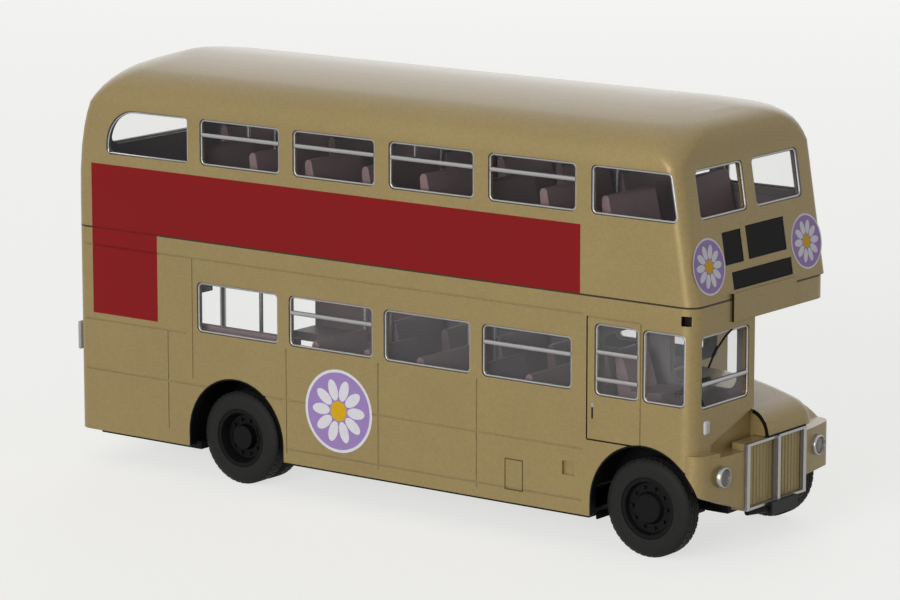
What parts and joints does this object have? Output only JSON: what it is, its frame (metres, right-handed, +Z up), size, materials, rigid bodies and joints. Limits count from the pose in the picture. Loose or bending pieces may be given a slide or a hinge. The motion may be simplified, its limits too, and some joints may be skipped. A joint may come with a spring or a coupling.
{
  "type": "toy double decker bus",
  "caption": "Scale model of a half-cab double decker bus with an open rear platform, glazed decks with seats, and axles that roll.",
  "frame": {"origin": "on the floor under the middle of the bus", "axes": "+X towards the front, +Y towards the nearside (the platform side), +Z up"},
  "size_m": [0.0944, 0.028, 0.0503],
  "materials": {
    "gold": "metallic gold, satin",
    "black": "moulded black",
    "interior": "moulded dark aubergine",
    "clear": "clear moulding",
    "silver": "silver printed or plated",
    "lens": "clear lens",
    "red_lens": "red lens",
    "display": "blank black display",
    "plate": "blank number plate",
    "tyre": "black moulded tyre",
    "steel": "bright axle pin"
  },
  "bodies": {
    "body": {"upper_shell": "gold", "lower_shell": "gold", "bonnet": "gold", "nearside_wing": "gold", "radiator_grille": "gold", "radiator_frame": "silver", "headlamp_rims": "silver", "headlamp_lenses": "lens", "front_plate": "plate", "front_displays": "display", "rear_display": "display", "rear_lamp_box": "black", "tail_lamps": "red_lens", "rear_plate": "plate", "chassis": "black", "lower_floor": "interior", "lower_seats": "interior", "upper_floor": "interior", "upper_seats": "interior", "staircase": "interior", "rear_platform": "interior", "platform_pole": "silver", "driver_seat": "interior", "steering_wheel": "black", "upper_glazing_offside": "clear", "upper_glazing_nearside": "clear", "lower_glazing_offside": "clear", "lower_glazing_nearside": "clear", "rear_quarter_glazing": "clear", "upper_front_glazing": "clear", "upper_rear_glazing": "clear", "lower_rear_glazing": "clear", "windscreen": "clear", "cab_glazing": "clear", "bulkhead_glazing": "clear"},
    "front_wheels": {"front_axle": "steel", "front_hubs": "black", "front_tyres": "tyre"},
    "rear_wheels": {"rear_axle": "steel", "rear_hubs": "black", "rear_tyres": "tyre"}
  },
  "joints": [
    {"name": "front_axle_spin", "type": "hinge", "parent": "body", "child": "front_wheels", "pos_m": [0.0379, 0, 0.00565], "axis": [0, 1, 0], "continuous": true},
    {"name": "rear_axle_spin", "type": "hinge", "parent": "body", "child": "rear_wheels", "pos_m": [-0.02125, 0, 0.00565], "axis": [0, 1, 0], "continuous": true}
  ]
}
